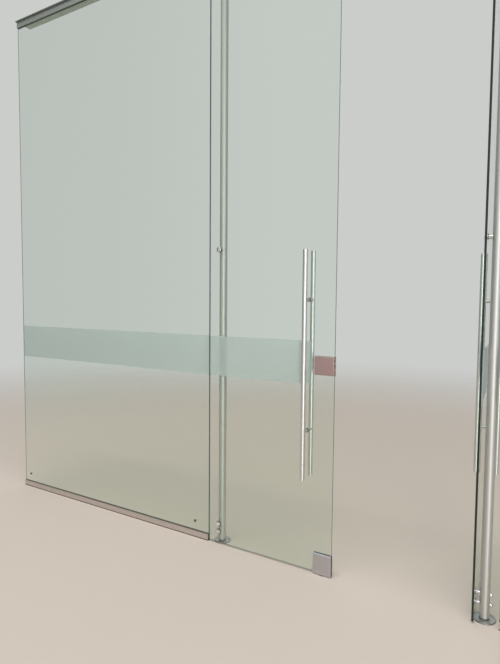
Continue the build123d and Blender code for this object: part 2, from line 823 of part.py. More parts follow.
def write_locks():
    """Write the meeting lock, the floor lock and the keeper."""
    write("lock_outer_cover", to_meeting_edge(patch_cover(lock_length, lock_height, -1)))
    write("lock_inner_cover", to_meeting_edge(inner_cover(lock_length, lock_height)))
    write("lock_forend", to_meeting_edge(forend(lock_height)))
    write("lock_case", to_meeting_edge(lock_case()))
    screws = [place * countersunk_screw(case_screw_length) for place in case_screw_places()]
    write("lock_case_screws", [to_meeting_edge(screw) for screw in screws])
    write("lock_bolt", to_meeting_edge(flat_bolt(bolt_height)))
    write("lock_thumb_turn", to_meeting_edge(thumb_turn()))
    outer = patch_cover(floor_lock_length, floor_lock_height, -1)
    write("floor_lock_outer_cover", to_floor_corner(outer))
    write("floor_lock_inner_cover", to_floor_corner(inner_cover(floor_lock_length, floor_lock_height)))
    write("floor_lock_case", to_floor_corner(floor_lock_case()))
    write("floor_bolt", to_floor_corner(flat_bolt(floor_bolt_width)))
    write("floor_lock_thumb_turn", to_floor_corner(thumb_turn()))
    outer = patch_cover(lock_length, lock_height, -1)
    write("keeper_outer_cover", right_leaf(to_meeting_edge(outer)))
    inner = patch_cover(lock_length, lock_height, 1)
    write("keeper_inner_cover", right_leaf(to_meeting_edge(inner)))
    write("keeper_body", right_leaf(to_meeting_edge(keeper_body())))


def main():
    os.makedirs("parts", exist_ok=True)
    write_frame()
    write_leaf("left", lambda shape: shape)
    write_leaf("right", right_leaf)
    write_locks()
    print("leaf glass", round(leaf_width), "x", round(leaf_top - leaf_bottom), "mm")
    print("pivot axes", round(axis_span), "mm apart; head at", round(head_height), "mm")


main()
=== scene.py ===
# %% [markdown]
# A frameless glass entrance, dressed for the camera
#
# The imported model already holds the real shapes: two fixed sidelights and a pair of glass leaves
# that turn on steel tubes. This lesson gives those shapes their light, their camera and their
# finishes, and remakes the frosted film and the small turned pieces that a viewer looks at
# closely. Everything is in metres, with Z up and Y into the building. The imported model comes
# first, because every later piece is placed from it.

# %% Load the frame
import json
import math

import bmesh
import bpy
from mathutils import Matrix, Vector


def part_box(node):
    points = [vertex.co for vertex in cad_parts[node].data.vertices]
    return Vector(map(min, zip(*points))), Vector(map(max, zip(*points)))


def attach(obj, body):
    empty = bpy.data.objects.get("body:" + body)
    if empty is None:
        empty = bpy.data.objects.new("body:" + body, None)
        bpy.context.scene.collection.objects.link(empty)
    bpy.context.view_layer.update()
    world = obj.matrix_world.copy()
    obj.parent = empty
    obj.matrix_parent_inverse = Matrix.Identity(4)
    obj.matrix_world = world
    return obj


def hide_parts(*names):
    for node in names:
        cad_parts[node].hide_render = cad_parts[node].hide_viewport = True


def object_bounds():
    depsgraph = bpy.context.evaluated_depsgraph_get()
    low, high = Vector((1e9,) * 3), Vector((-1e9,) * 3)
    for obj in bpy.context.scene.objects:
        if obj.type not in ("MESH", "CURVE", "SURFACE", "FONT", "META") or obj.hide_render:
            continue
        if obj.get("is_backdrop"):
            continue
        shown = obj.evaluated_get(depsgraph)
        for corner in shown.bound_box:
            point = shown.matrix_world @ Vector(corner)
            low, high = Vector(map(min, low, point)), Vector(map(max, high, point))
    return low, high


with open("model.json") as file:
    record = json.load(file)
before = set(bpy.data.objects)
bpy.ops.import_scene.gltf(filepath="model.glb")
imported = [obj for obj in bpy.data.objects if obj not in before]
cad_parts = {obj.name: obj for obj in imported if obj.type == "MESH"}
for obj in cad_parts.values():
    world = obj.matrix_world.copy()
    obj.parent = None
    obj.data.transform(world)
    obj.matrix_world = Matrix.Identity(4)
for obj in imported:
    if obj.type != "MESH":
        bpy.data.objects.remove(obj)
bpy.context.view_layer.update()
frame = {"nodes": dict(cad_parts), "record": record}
nodes = frame["nodes"]
slot_of = {part["node"]: part["material_slot"] for part in frame["record"]["subparts"]}

# %% [markdown]
# The camera
#
# A camera can be placed by eye, but straight edges make a better guide. Here the position, the
# turn and the focal length come from the lines of the door: the pivot axes, the floor channel and
# the ends of the pull bars. The eye is outside, to the right of the doorway, and looks left and
# slightly down.

# %% Camera
eye = Vector((1.745, -2.525, 1.445))
turn_left = math.radians(31.76)
look_down = math.radians(3.563)
lean = math.radians(0.463)
focal_px = 523.4
photo_width, photo_height = 500, 664

forward = Vector((-math.sin(turn_left) * math.cos(look_down),
                  math.cos(turn_left) * math.cos(look_down), -math.sin(look_down)))
level_right = forward.cross(Vector((0, 0, 1))).normalized()
level_up = level_right.cross(forward)
right = level_right * math.cos(lean) + level_up * math.sin(lean)
up = level_up * math.cos(lean) - level_right * math.sin(lean)

camera_data = bpy.data.cameras.new("camera")
camera_data.sensor_width = 36.0
camera_data.lens = camera_data.sensor_width * focal_px / max(photo_width, photo_height)
camera_data.clip_end = 200.0
camera = bpy.data.objects.new("camera", camera_data)
bpy.context.scene.collection.objects.link(camera)
camera.matrix_world = Matrix((
    (right.x, up.x, -forward.x, eye.x),
    (right.y, up.y, -forward.y, eye.y),
    (right.z, up.z, -forward.z, eye.z),
    (0, 0, 0, 1)))
bpy.context.scene.camera = camera
bpy.context.scene.view_settings.view_transform = "Standard"
print("lens", round(camera_data.lens, 2), "mm")

# %% [markdown]
# Colour and node helpers
#
# A colour picker shows sRGB values, while a shader works in linear light. One function does that
# step for every colour in the file. A second one adds a shader node, sets it up and wires it, so
# that each finish below reads as a short list of what it is made of.

# %% Helpers for colours and nodes
def hex_colour(code):
    """Turn an sRGB hex code into the linear RGBA that a shader wants."""
    parts = [int(code[i:i + 2], 16) / 255 for i in (1, 3, 5)]
    linear = [p / 12.92 if p <= 0.04045 else ((p + 0.055) / 1.055) ** 2.4 for p in parts]
    return (*linear, 1.0)


def add_node(tree, kind, links=None, **settings):
    """Add a node; settings are its properties or its sockets, links feed its sockets."""
    node = tree.nodes.new(kind)
    for name, value in settings.items():
        if hasattr(node, name):
            setattr(node, name, value)
        else:
            node.inputs[name.replace("_", " ")].default_value = value
    for name, source in (links or {}).items():
        tree.links.new(source, node.inputs[name])
    return node


def new_finish(name, **settings):
    """Start a material: an empty tree, a Principled shader with its settings, and an output."""
    finish = bpy.data.materials.new(name)
    finish.use_nodes = True
    tree = finish.node_tree
    tree.nodes.clear()
    shader = add_node(tree, "ShaderNodeBsdfPrincipled", **settings)
    add_node(tree, "ShaderNodeOutputMaterial", {"Surface": shader.outputs["BSDF"]})
    return finish, tree, shader


def show(tree, shader):
    """Make a shader the one that the material shows."""
    tree.links.new(shader.outputs[0], tree.get_output_node("ALL").inputs["Surface"])


def scaled_place(tree, scale):
    """Object coordinates times a scale, for a pattern that is fixed to the piece."""
    place = add_node(tree, "ShaderNodeTexCoord")
    sized = add_node(tree, "ShaderNodeMapping", {"Vector": place.outputs["Object"]}, Scale=scale)
    return sized.outputs[0]


def wear(finish, *names):
    """Give CAD nodes a finish."""
    for name in names:
        nodes[name].data.materials.clear()
        nodes[name].data.materials.append(finish)


# %% [markdown]
# Floor, backdrop and light
#
# Glass has almost no colour of its own, so what stands behind it decides how it looks. The world
# is a plain pale room whose tone depends on the compass direction: light on the street side,
# plain pale grey on the shop side and a darker grey to the left and right. A round steel tube
# mirrors that whole room across its width, which is what gives it a light middle and two dark
# sides. The floor fades into the room, so no horizon shows.
#
# A few soft lamps draw the bright streaks and the soft shadow. The panes would mirror each lamp
# as a hard white box, so light linking makes the lamps spare the panes. The two strips spare the
# floor as well, or they would leave a bright patch on it. A polished stone floor would mirror the
# lit street, and the steel would show that image down to its foot. Here the street strip itself
# goes on below the floor, and the floor lets its light past.

# %% Room
street_tone = "#DEDEDC"
shop_tone = "#CBCDCB"
side_tone = "#8A8F8E"
# Each stop is a bearing in degrees, counted from the right (X) towards the shop (Y), and its tone.
tone_of_bearing = [(-180, side_tone), (-138, side_tone), (-114, street_tone), (-16, street_tone),
                   (8, side_tone), (44, side_tone), (72, shop_tone), (148, shop_tone),
                   (172, side_tone)]

world = bpy.data.worlds.new("pale_room")
bpy.context.scene.world = world
world.use_nodes = True
room = world.node_tree
room.nodes.clear()
direction = add_node(room, "ShaderNodeTexCoord")
axes = add_node(room, "ShaderNodeSeparateXYZ", {"Vector": direction.outputs["Generated"]})
bearing = add_node(room, "ShaderNodeMath", {0: axes.outputs["Y"], 1: axes.outputs["X"]},
                   operation="ARCTAN2")
along = add_node(room, "ShaderNodeMapRange", {"Value": bearing.outputs[0]}, From_Min=-math.pi,
                 From_Max=math.pi)
room_tone = add_node(room, "ShaderNodeValToRGB", {"Fac": along.outputs[0]})
room_tone.color_ramp.interpolation = "EASE"
stops = room_tone.color_ramp.elements
for i, (degrees, code) in enumerate(tone_of_bearing):
    stop = stops[i] if i < 2 else stops.new(1.0)
    stop.position = (degrees + 180) / 360
    stop.color = hex_colour(code)
backdrop = add_node(room, "ShaderNodeBackground", {"Color": room_tone.outputs[0]}, Strength=1.0)
add_node(room, "ShaderNodeOutputWorld", {"Surface": backdrop.outputs[0]})
print("room of", len(stops), "tones")

# %% Floor
floor_tone = "#E0D3C8"
floor_reach = 14.0
fade_start = 2.5
fade_end = 10.0

floor_mesh = bpy.data.meshes.new("floor")
corners = [(x * floor_reach, y * floor_reach, 0) for x, y in ((-1, -1), (1, -1), (1, 1), (-1, 1))]
floor_mesh.from_pydata(corners, [], [(0, 1, 2, 3)])
floor = bpy.data.objects.new("floor", floor_mesh)
bpy.context.scene.collection.objects.link(floor)
floor_finish, tree, shader = new_finish("honed_floor")
tree.nodes.remove(shader)
matt = add_node(tree, "ShaderNodeBsdfDiffuse", Color=hex_colour(floor_tone))
clear = add_node(tree, "ShaderNodeBsdfTransparent")
place = add_node(tree, "ShaderNodeTexCoord")
distance = add_node(tree, "ShaderNodeVectorMath", {0: place.outputs["Object"]}, operation="LENGTH")
fade = add_node(tree, "ShaderNodeMapRange", {"Value": distance.outputs["Value"]},
                interpolation_type="SMOOTHSTEP", From_Min=fade_start, From_Max=fade_end)
melt = add_node(tree, "ShaderNodeMixShader", {"Fac": fade.outputs[0], 1: matt.outputs[0],
                                              2: clear.outputs[0]})
show(tree, melt)
floor_mesh.materials.append(floor_finish)
floor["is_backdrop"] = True
print("floor fades out from", fade_start, "to", fade_end, "m")


# %% Lamps
def spared(name, pieces):
    """Collection of pieces that a lamp's light or shadow leaves out."""
    group = bpy.data.collections.new(name)
    for piece in pieces:
        group.objects.link(piece)
    for entry in group.collection_objects:
        entry.light_linking.link_state = "EXCLUDE"
    return group


panes = [nodes[name] for name in slot_of if name.endswith("_glass")]
spared_panes = spared("panes", panes)
spared_panes_and_floor = spared("panes_and_floor", [*panes, floor])


def soft_lamp(name, place, aim, size, watts, left_alone, let_past=None):
    """Rectangular lamp that leaves some pieces alone, and may let its light past some others."""
    lamp = bpy.data.lights.new(name, "AREA")
    lamp.shape = "RECTANGLE"
    lamp.size, lamp.size_y = size
    lamp.energy = watts
    holder = bpy.data.objects.new(name, lamp)
    bpy.context.scene.collection.objects.link(holder)
    holder.location = place
    holder.rotation_euler = (Vector(aim) - Vector(place)).to_track_quat("-Z", "Y").to_euler()
    holder.light_linking.receiver_collection = left_alone
    holder.light_linking.blocker_collection = let_past


soft_lamp("street_strip", place=(4.4, -5.6, 1.15), aim=(0.5, 0.0, 1.15), size=(1.0, 6.7),
          watts=145, left_alone=spared_panes_and_floor, let_past=spared("floor_alone", [floor]))
soft_lamp("right_strip", place=(6.6, -1.3, 2.3), aim=(0.5, 0.0, 1.4), size=(0.5, 4.4),
          watts=40, left_alone=spared_panes_and_floor)
soft_lamp("ceiling_panel", place=(0.5, -2.0, 6.5), aim=(0.5, 0.0, 0.0), size=(6.0, 4.0),
          watts=210, left_alone=spared_panes)
print("three lamps, which spare", len(panes), "panes")

# %% [markdown]
# Smooth shading
#
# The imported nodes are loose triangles, so each one would show its facets. Weld joins the
# triangles without moving them, smooth shading blends the normals, and Edge Split keeps the real
# corners crisp.

# %% Shade the nodes smoothly
corner_angle = math.radians(28)
weld_distance = 0.00001


def smooth(piece):
    """Blend the normals of a piece, apart from its real corners."""
    piece.data.polygons.foreach_set("use_smooth", [True] * len(piece.data.polygons))
    weld = piece.modifiers.new("weld", "WELD")
    weld.merge_threshold = weld_distance
    split = piece.modifiers.new("corners", "EDGE_SPLIT")
    split.split_angle = corner_angle


for node in nodes.values():
    smooth(node)
print(len(nodes), "nodes shaded smoothly")

# %% [markdown]
# Toughened float glass
#
# Ordinary clear float glass holds a little iron. Looked through, a 10 mm pane is only a breath of
# green. Looked at along the pane, the light has crossed centimetres of glass, and the edge turns
# dark green. One material does both: the mesh normal tells the two large faces from the ground
# edges, and the upright edges from the level ones. The open leaf stands turned on its pivot, so
# its normals are turned back by the same angle first.
#
# The shut leaf's upright edge faces the light, so it is painted paler, as painted light, and made
# clearer than the others. The level edges, such as the one just above the floor, are painted nearly
# black as painted shade.
# Light that passes on towards the floor is let by and takes the colour of the glass, or each pane
# would cast a black shadow.

# %% Glass
glass_face = "#F3F9F4"
glass_edge = "#1F3832"
# Painted light: the shut leaf's upright edge is drawn paler than the glass edge because it faces
# the light.
painted_lit_edge = "#B2C8BE"
# Painted shade: the level edges are drawn nearly black.
painted_shade_sill_edge = "#2A281D"
deep_clearness = 0.25
lit_clearness = 0.6
sill_clearness = 0.1
edge_roughness = 0.25
face_normal = 0.95
edge_normal = 0.5
open_angle = 86.0


def toughened_glass(name, turned, edge, edge_clearness):
    """Clear float glass with green ground edges; turned is the angle of the pane about Z."""
    finish, tree, shader = new_finish(name, IOR=1.52)
    place = add_node(tree, "ShaderNodeTexCoord")
    unturn = add_node(tree, "ShaderNodeMapping", {"Vector": place.outputs["Normal"]},
                      vector_type="NORMAL", Rotation=(0, 0, math.radians(turned)))
    parts = add_node(tree, "ShaderNodeSeparateXYZ", {"Vector": unturn.outputs[0]})
    across = add_node(tree, "ShaderNodeMath", {0: parts.outputs["Y"]}, operation="ABSOLUTE")
    level = add_node(tree, "ShaderNodeMath", {0: parts.outputs["Z"]}, operation="ABSOLUTE")
    is_edge = add_node(tree, "ShaderNodeMapRange", {"Value": across.outputs[0]},
                       From_Min=face_normal, From_Max=edge_normal)
    # Upright edges take the given edge colour, which is painted light on the shut leaf; level edges
    # take the painted shade of the sill colour.
    rim = add_node(tree, "ShaderNodeMixRGB", {"Fac": level.outputs[0]}, Color1=hex_colour(edge),
                   Color2=hex_colour(painted_shade_sill_edge))
    colour = add_node(tree, "ShaderNodeMixRGB", {"Fac": is_edge.outputs[0],
                                                 "Color2": rim.outputs[0]},
                      Color1=hex_colour(glass_face))
    tree.links.new(colour.outputs[0], shader.inputs["Base Color"])
    rough = add_node(tree, "ShaderNodeMapRange", {"Value": is_edge.outputs[0]}, To_Min=0.0,
                     To_Max=edge_roughness)
    tree.links.new(rough.outputs[0], shader.inputs["Roughness"])
    rim_clearness = add_node(tree, "ShaderNodeMapRange", {"Value": level.outputs[0]},
                             To_Min=edge_clearness, To_Max=sill_clearness)
    clearness = add_node(tree, "ShaderNodeMapRange", {"Value": is_edge.outputs[0],
                                                      "To Max": rim_clearness.outputs[0]},
                         To_Min=1.0)
    tree.links.new(clearness.outputs[0], shader.inputs["Transmission Weight"])
    rays = add_node(tree, "ShaderNodeLightPath")
    let_by = add_node(tree, "ShaderNodeBsdfTransparent", {"Color": colour.outputs[0]})
    mixed = add_node(tree, "ShaderNodeMixShader", {"Fac": rays.outputs["Is Shadow Ray"],
                                                   1: shader.outputs[0], 2: let_by.outputs[0]})
    show(tree, mixed)
    return finish


fixed_glass = toughened_glass("toughened_glass", 0.0, glass_edge, deep_clearness)
# The shut leaf's copy carries the painted light of its paler upright edge.
shut_glass = toughened_glass("toughened_glass_shut_leaf", 0.0, painted_lit_edge, lit_clearness)
open_glass = toughened_glass("toughened_glass_open_leaf", open_angle, glass_edge, deep_clearness)
wear(fixed_glass, "left_sidelight_glass", "right_sidelight_glass")
wear(shut_glass, "left_leaf_glass")
wear(open_glass, "right_leaf_glass")
print("glass with edges that let through", deep_clearness, "or", lit_clearness, "of the light")

# %% [markdown]
# Brushed metal
#
# Satin stainless steel is finished with an abrasive belt that leaves fine parallel scratches. The
# scratches are a noise that is squeezed across the belt and drawn out along it. They change the
# roughness and the colour a little, and a bump lets them catch the light. Real grit marks are a
# tenth of a millimetre wide, too fine to show, so they are drawn about four times as coarse here.
# Stronger scratches would break the long streaks of light on the bars into sparkles. A second,
# broad noise stands for the cleaning cloth and the hands that touch the metal.
#
# Metal that stands on the floor gathers dust, and its lowest millimetres are drawn darker. Round a
# pivot, painted shade darkens the gap under the tube and the rim of the dish.

# %% Brushed metal
grain_width = 0.0004
grain_length = 0.04
scratch_depth = 0.00002
cloth_scale = (18, 18, 7)  # smears about 55 mm wide and 140 mm tall
two_noises = {"From_Min": 0.6, "From_Max": 1.4}  # nearly all of the sum of two noises
darkest_scratch = 0.97
roughness_swing = 0.006


def brushed_metal(name, code, roughness, along="Z", dusty=False, dark_foot_height=0.001, centre=None):
    """Metal with parallel scratches along one axis. If it is dusty, it gathers dust near the floor
    and is drawn darker up to the dark foot height. If a centre is given, painted shade lies in
    rings round it."""
    finish, tree, shader = new_finish(name, Metallic=1.0)
    scale = [1 / grain_length if axis == along else 1 / grain_width for axis in "XYZ"]
    grain = add_node(tree, "ShaderNodeTexNoise", {"Vector": scaled_place(tree, scale)}, Scale=1.0,
                     Detail=3.0, Roughness=0.6)
    cloth = add_node(tree, "ShaderNodeTexNoise", {"Vector": scaled_place(tree, cloth_scale)},
                     Scale=1.0, Detail=2.0)
    both = add_node(tree, "ShaderNodeMath", {0: grain.outputs["Fac"], 1: cloth.outputs["Fac"]},
                    operation="ADD")
    tone = add_node(tree, "ShaderNodeMapRange", {"Value": both.outputs[0]}, **two_noises,
                    To_Min=darkest_scratch, To_Max=1.0)
    colour = add_node(tree, "ShaderNodeVectorMath", {"Scale": tone.outputs[0]}, operation="SCALE")
    colour.inputs[0].default_value = hex_colour(code)[:3]
    rough = add_node(tree, "ShaderNodeMapRange", {"Value": both.outputs[0]}, **two_noises,
                     To_Min=roughness + roughness_swing, To_Max=roughness - roughness_swing)
    bump = add_node(tree, "ShaderNodeBump", {"Height": grain.outputs["Fac"]}, Strength=0.02,
                    Distance=scratch_depth)
    shade = colour.outputs[0]
    # Painted shade in rings round the pivot, if a centre is given.
    if centre:
        shade = paint_shade_rings(tree, shade, centre)
    tree.links.new(shade, shader.inputs["Base Color"])
    tree.links.new(rough.outputs[0], shader.inputs["Roughness"])
    tree.links.new(bump.outputs[0], shader.inputs["Normal"])
    if dusty:
        lay_dust(tree, shader, shade, rough.outputs[0], dark_foot_height)
    return finish


# %% Painted shade round a pivot
# Painted shade: dark rings in the gap under the tube and along the rim of the dish.
painted_shade_tone = "#26292A"
painted_shade_rings = ((0.0195, 0.006, 0.95), (0.049, 0.0035, 0.6))  # under the tube, along the rim


def paint_shade_rings(tree, colour, centre):
    """Paint shade into a colour as dark rings round an upright axis; each has a radius, width and
    amount.
    """
    place = add_node(tree, "ShaderNodeTexCoord")
    offset = add_node(tree, "ShaderNodeVectorMath", {0: place.outputs["Object"]},
                      operation="SUBTRACT")
    offset.inputs[1].default_value = centre
    flat = add_node(tree, "ShaderNodeVectorMath", {0: offset.outputs[0]}, operation="MULTIPLY")
    flat.inputs[1].default_value = (1.0, 1.0, 0.0)
    radius = add_node(tree, "ShaderNodeVectorMath", {0: flat.outputs[0]}, operation="LENGTH")
    for ring, width, amount in painted_shade_rings:
        off_ring = add_node(tree, "ShaderNodeMath", {0: radius.outputs["Value"]},
                            operation="SUBTRACT")
        off_ring.inputs[1].default_value = ring
        distance = add_node(tree, "ShaderNodeMath", {0: off_ring.outputs[0]}, operation="ABSOLUTE")
        shaded = add_node(tree, "ShaderNodeMapRange", {"Value": distance.outputs[0]},
                         interpolation_type="SMOOTHSTEP", From_Min=width, From_Max=0.0,
                         To_Max=amount)
        mixed = add_node(tree, "ShaderNodeMixRGB", {"Fac": shaded.outputs[0], "Color1": colour},
                         Color2=hex_colour(painted_shade_tone))
        colour = mixed.outputs[0]
    return colour


# %% Dust near the floor
dust = "#B3A798"
dust_height = 0.03
dust_scale = (60, 60, 60)  # clouds about 17 mm across
dust_clouds = {"From_Min": 0.4, "From_Max": 0.75}  # bare between the clouds
dust_roughness = 0.8
metal_in_dust = 0.3
# The very foot is drawn darker, up to the dark foot height.
dark_foot_tone = "#4A3E34"
dark_foot_cover = 0.9


def lay_dust(tree, shader, colour, rough, dark_foot_height):
    """Blow floor dust over the lowest centimetres of a finish, and darken its very foot."""
    place = add_node(tree, "ShaderNodeTexCoord")
    axes = add_node(tree, "ShaderNodeSeparateXYZ", {"Vector": place.outputs["Object"]})
    low = add_node(tree, "ShaderNodeMapRange", {"Value": axes.outputs["Z"]}, From_Min=dust_height,
                   From_Max=0.0)
    foot = add_node(tree, "ShaderNodeMapRange", {"Value": axes.outputs["Z"]},
                    From_Min=dark_foot_height * 1.5, From_Max=dark_foot_height * 0.8, To_Max=dark_foot_cover)
    cloud = add_node(tree, "ShaderNodeTexNoise", {"Vector": scaled_place(tree, dust_scale)},
                     Scale=1.0, Detail=6.0, Roughness=0.7)
    patchy = add_node(tree, "ShaderNodeMapRange", {"Value": cloud.outputs["Fac"]}, **dust_clouds)
    amount = add_node(tree, "ShaderNodeMath", {0: low.outputs[0], 1: patchy.outputs[0]},
                      operation="MULTIPLY")
    powdered = add_node(tree, "ShaderNodeMixRGB", {"Fac": amount.outputs[0], "Color1": colour},
                        Color2=hex_colour(dust))
    dusted_and_darkened = add_node(tree, "ShaderNodeMixRGB", {"Fac": foot.outputs[0],
                                                 "Color1": powdered.outputs[0]},
                      Color2=hex_colour(dark_foot_tone))
    dull = add_node(tree, "ShaderNodeMapRange", {"Value": amount.outputs[0], "To Min": rough},
                    To_Max=dust_roughness)
    bare = add_node(tree, "ShaderNodeMapRange", {"Value": amount.outputs[0]}, To_Min=1.0,
                    To_Max=metal_in_dust)
    tree.links.new(dusted_and_darkened.outputs[0], shader.inputs["Base Color"])
    tree.links.new(dull.outputs[0], shader.inputs["Roughness"])
    tree.links.new(bare.outputs[0], shader.inputs["Metallic"])


# %% Metal finishes
# Pull bars, their caps and the thumb turns, brushed on a belt: one long soft streak of light.
satin_steel = brushed_metal("satin_stainless_steel", "#D9D9D7", 0.31)
# Pivot tubes, drawn and left matt: a broad streak with soft sides.
tube_steel = brushed_metal("drawn_stainless_tube", "#CFCECB", 0.5)
# Posts of the handles, brushed from end to end: the streak lies along each post.
post_steel = brushed_metal("satin_stainless_posts", "#D2D2CF", 0.38, along="Y")
# Cast flanges and the floor socket: a bluish grey, dull with dust, with painted shade round the
# tube.
left_flange_steel = brushed_metal("cast_stainless_flange_left", "#BCC0C1", 0.3, dusty=True,
                                  centre=(0, 0, 0))
right_flange_steel = brushed_metal("cast_stainless_flange_right", "#BCC0C1", 0.3, dusty=True,
                                   centre=(1.45, 0, 0))
# Glass bolts, spacers and dome nuts, turned and polished: small hard lights.
polished_steel = brushed_metal("turned_stainless_steel", "#D8D8D6", 0.14, along="Y")
# Covers of the meeting lock and its keeper, tinted rose in a vapour bath: a warm, even sheen. Those
# of the floor lock are plain: a cool grey, dusty near the floor.
rose_steel = brushed_metal("rose_tinted_stainless_steel", "#BDA2A0", 0.34)
grey_steel = brushed_metal("grey_stainless_steel", "#C6C5CA", 0.34, dusty=True)
# End plate of the lock, blasted with beads: pale, with no streak at all.
forend_steel = brushed_metal("bead_blasted_nickel", "#E4D3CE", 0.6)
# Lock cases and bolts, blackened in an oil bath, and near black as painted shade in the windows of
# the end plate.
lock_steel = brushed_metal("blackened_lock_steel_painted_shade", "#1C1A19", 0.6, along="X")
# Socket screws and pivot pins, zinc-plated: a hard grey gleam.
screw_steel = brushed_metal("zinc_plated_screw_steel", "#9C9C9A", 0.25)
# Thrust washers, turned from bronze: warm brown, smooth where they rub.
bronze = brushed_metal("turned_bronze", "#A98650", 0.28, along="Y")
# Channels, brushed along their length and anodised: a soft sheen, darker at the floor.
channel_aluminium = brushed_metal("satin_aluminium", "#D3CCC8", 0.38, along="X", dusty=True,
                                  dark_foot_height=0.005)
head_aluminium = brushed_metal("satin_aluminium_head", "#C9CFC8", 0.38, along="X")
print("14 brushed finishes")

# %% [markdown]
# Rubber, plastic and paint
#
# The wedge gaskets, the rings under the fixings and the plugs of the sidelights are EPDM rubber,
# matt and dark. The setting blocks and the tube plugs are moulded nylon. The plate along the head
# is powder-coated, and the powder melts into a skin with a faint orange-peel ripple. Its dark skin
# is painted shade for the shadow line at the head. Its soffit on the shop side is painted pale, a
# painted light band that shows through the glass.

# %% Rubber, plastic and paint
ripple_height = 0.0001
ripple_tone = 0.15
ripple_gloss = 0.08
facing_down = {"From_Min": -0.5, "From_Max": -0.9}  # the upward part of the normal
shop_side = {"From_Min": -0.05, "From_Max": -0.04}  # Y, across the plane of the glass


def moulded(name, code, roughness, ripple_size, painted_light_soffit=None):
    """Non-metal skin with a fine ripple; its size is in metres. The soffit on the shop side of the
    glass may have its own, paler colour as painted light."""
    finish, tree, shader = new_finish(name)
    scale = [1 / ripple_size] * 3
    ripple = add_node(tree, "ShaderNodeTexNoise", {"Vector": scaled_place(tree, scale)}, Scale=1.0,
                      Detail=3.0)
    tone = add_node(tree, "ShaderNodeMapRange", {"Value": ripple.outputs["Fac"]},
                    To_Min=1 - ripple_tone, To_Max=1 + ripple_tone)
    colour = add_node(tree, "ShaderNodeVectorMath", {"Scale": tone.outputs[0]}, operation="SCALE")
    colour.inputs[0].default_value = hex_colour(code)[:3]
    # Painted light: a paler soffit on the shop side.
    if painted_light_soffit:
        place = add_node(tree, "ShaderNodeTexCoord")
        facing = add_node(tree, "ShaderNodeSeparateXYZ", {"Vector": place.outputs["Normal"]})
        where = add_node(tree, "ShaderNodeSeparateXYZ", {"Vector": place.outputs["Object"]})
        is_below = add_node(tree, "ShaderNodeMapRange", {"Value": facing.outputs["Z"]},
                            **facing_down)
        is_inside = add_node(tree, "ShaderNodeMapRange", {"Value": where.outputs["Y"]}, **shop_side)
        is_painted_light_soffit = add_node(tree, "ShaderNodeMath", {0: is_below.outputs[0],
                                                      1: is_inside.outputs[0]},
                             operation="MULTIPLY")
        painted_light_sides = add_node(tree, "ShaderNodeMixRGB", {"Fac": is_painted_light_soffit.outputs[0]},
                         Color1=hex_colour(code), Color2=hex_colour(painted_light_soffit))
        tree.links.new(painted_light_sides.outputs[0], colour.inputs[0])
    rough = add_node(tree, "ShaderNodeMapRange", {"Value": ripple.outputs["Fac"]},
                     To_Min=roughness - ripple_gloss, To_Max=roughness + ripple_gloss)
    bump = add_node(tree, "ShaderNodeBump", {"Height": ripple.outputs["Fac"]}, Strength=0.4,
                    Distance=ripple_height)
    tree.links.new(colour.outputs[0], shader.inputs["Base Color"])
    tree.links.new(rough.outputs[0], shader.inputs["Roughness"])
    tree.links.new(bump.outputs[0], shader.inputs["Normal"])
    return finish


# Extruded rubber: matt, and grey rather than black where dust has settled in its skin.
rubber = moulded("epdm_rubber", "#65625D", 0.7, ripple_size=0.002)
# Moulded nylon: a waxy half gloss.
nylon = moulded("moulded_nylon", "#4C4F50", 0.5, ripple_size=0.004)
# Baked powder coat with an orange-peel gloss: a dark skin as painted shade, and a pale soffit as
# painted light.
head_paint = moulded("powder_coat_painted_light_and_shade", "#5C5F5D", 0.45, ripple_size=0.003, painted_light_soffit="#B9BFB4")
print("3 moulded and painted finishes")

# %% Finishes of the nodes
finish_of_slot = {
    "channel_aluminium": channel_aluminium, "head_aluminium": head_aluminium,
    "head_paint": head_paint, "gasket_rubber": rubber, "block_plastic": nylon, "plug_nylon": nylon,
    "satin_stainless": satin_steel, "polished_fixings": polished_steel,
    "rose_stainless": rose_steel, "grey_stainless": grey_steel, "lock_steel": lock_steel,
    "screw_steel": screw_steel, "bronze": bronze,
}
for name, slot in slot_of.items():
    if slot in finish_of_slot:
        wear(finish_of_slot[slot], name)
wear(left_flange_steel, "left_floor_flange", "left_head_flange", "floor_bolt_socket")
wear(right_flange_steel, "right_floor_flange", "right_head_flange")
wear(tube_steel, "left_pivot_tube", "right_pivot_tube")
wear(post_steel, "left_pull_posts", "right_pull_posts")
wear(forend_steel, "lock_forend")
# The lock's screws take the same near-black steel, as painted shade in the windows of the end
# plate.
wear(lock_steel, "lock_case_screws")
wear(satin_steel, "lock_thumb_turn", "floor_lock_thumb_turn")
print("finishes on", len(slot_of), "nodes")

# %% [markdown]
# Frosted film
#
# The milky band is a self-adhesive vinyl film on the shop side of the glass. It hides nothing,
# but it scatters what is behind it. The film is only a third of a millimetre thick, and in the
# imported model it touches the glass. Two skins in exactly the same place confuse a renderer, so
# the band is drawn again as a thin sheet with rounded corners, a hair off the pane. The right
# half of the entrance is the left half in a mirror, with its leaf swung open, so each film is
# drawn once and placed on both sides.

# %% From the left half to the right half
axis_span = 1.45
pivot_of_right = Matrix.Translation((axis_span, 0, 0))
mirrored = pivot_of_right @ Matrix.Scale(-1, 4, (1, 0, 0))
leaf_turn = Matrix.Rotation(math.radians(-open_angle), 4, "Z")
swung_open = pivot_of_right @ leaf_turn @ pivot_of_right.inverted()
to_right_leaf = swung_open @ mirrored


